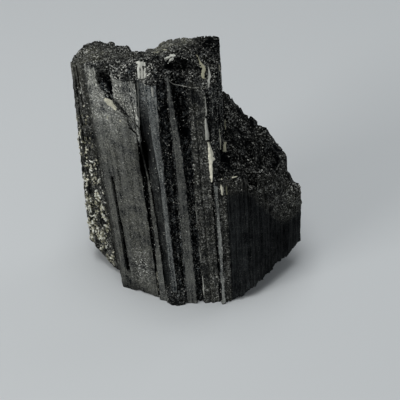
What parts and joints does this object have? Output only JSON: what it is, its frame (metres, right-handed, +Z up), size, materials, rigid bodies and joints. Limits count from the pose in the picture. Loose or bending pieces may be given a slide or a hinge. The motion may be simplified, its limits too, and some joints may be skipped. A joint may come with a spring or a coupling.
{
  "type": "black tourmaline crystal",
  "caption": "Broken hand specimen of black tourmaline: stout upright prisms grown together with deeply ribbed sides, a rough top, a lower rough shoulder and pale mineral slivers.",
  "frame": {"origin": "middle of the piece's width and depth, on the surface it stands on", "axes": "+Z up along the ribs, -Y out of the broad ribbed front, +X towards the low broken shoulder"},
  "size_m": [0.1067, 0.0632, 0.1336],
  "materials": {
    "black_tourmaline": "glassy black with satin grey weathered ribs and rough sparkling breaks",
    "pale_mineral": "matte cream to olive feldspar and mica, in slivers and crust"
  },
  "bodies": {
    "root": {"tourmaline_crystal": "black_tourmaline"}
  },
  "joints": []
}
